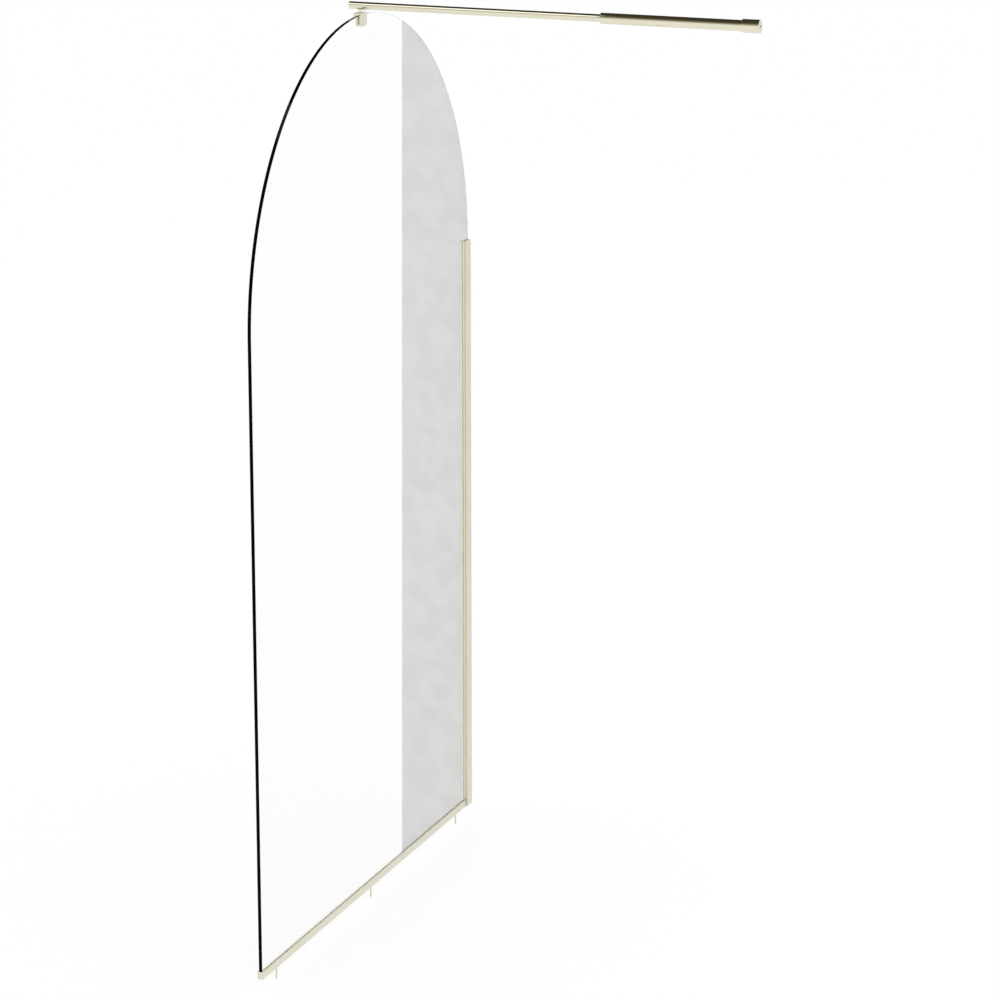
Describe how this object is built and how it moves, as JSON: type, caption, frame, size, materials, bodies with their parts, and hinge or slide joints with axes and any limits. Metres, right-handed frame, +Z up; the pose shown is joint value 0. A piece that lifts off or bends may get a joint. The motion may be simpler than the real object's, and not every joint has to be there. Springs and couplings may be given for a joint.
{
  "type": "walk-in shower screen",
  "caption": "Arched clear glass shower screen in a champagne-gold floor rail and wall profile, braced by a telescopic support bar that swivels on a clamp at the crown.",
  "frame": {"origin": "on the underside of the floor rail, in the mid-plane of the glass, below the crown of the arch", "axes": "+X along the glass towards the wall profile, -Y along the support bar towards the second wall, +Z up"},
  "size_m": [1.2079, 0.9242, 2.0657],
  "materials": {
    "clear_glass": "clear toughened glass with dark green polished edges",
    "champagne_aluminium": "satin champagne-gold anodising",
    "gold_tube": "polished champagne-gold coating",
    "gold_brass": "satin champagne-gold plating",
    "gold_screws": "gold-passivated steel",
    "clear_gasket": "translucent soft plastic",
    "clear_packing": "translucent hard plastic",
    "black_bush": "black acetal"
  },
  "bodies": {
    "screen": {"glass_panel": "clear_glass", "floor_rail": "champagne_aluminium", "wall_profile": "champagne_aluminium", "glazing_channel": "champagne_aluminium", "rail_gasket_front": "clear_gasket", "rail_gasket_back": "clear_gasket", "wall_gasket_front": "clear_gasket", "wall_gasket_back": "clear_gasket", "setting_blocks": "clear_packing", "edge_packers": "clear_packing", "rail_end_cap": "champagne_aluminium", "floor_screws": "gold_screws", "clamp_body": "gold_brass", "clamp_liner": "clear_gasket", "clamp_screws": "gold_screws"},
    "bar_inner": {"swivel_post": "gold_brass", "swivel_block": "gold_brass", "inner_tube": "gold_tube", "inner_end_plug": "gold_brass", "guide_bush": "black_bush"},
    "bar_outer": {"outer_tube": "gold_tube", "mouth_bush": "black_bush", "telescope_lock_screw": "gold_screws", "wall_flange": "gold_brass", "flange_set_screw": "gold_screws"}
  },
  "joints": [
    {"name": "bar_swivel", "type": "hinge", "parent": "screen", "child": "bar_inner", "pos_m": [-0.012, 0, 2.006], "axis": [0, 0, 1], "range_deg": [-90, 90]},
    {"name": "bar_telescope", "type": "slide", "parent": "bar_inner", "child": "bar_outer", "axis": [0, -1, 0], "range_m": [-0.13, 0.18]}
  ]
}
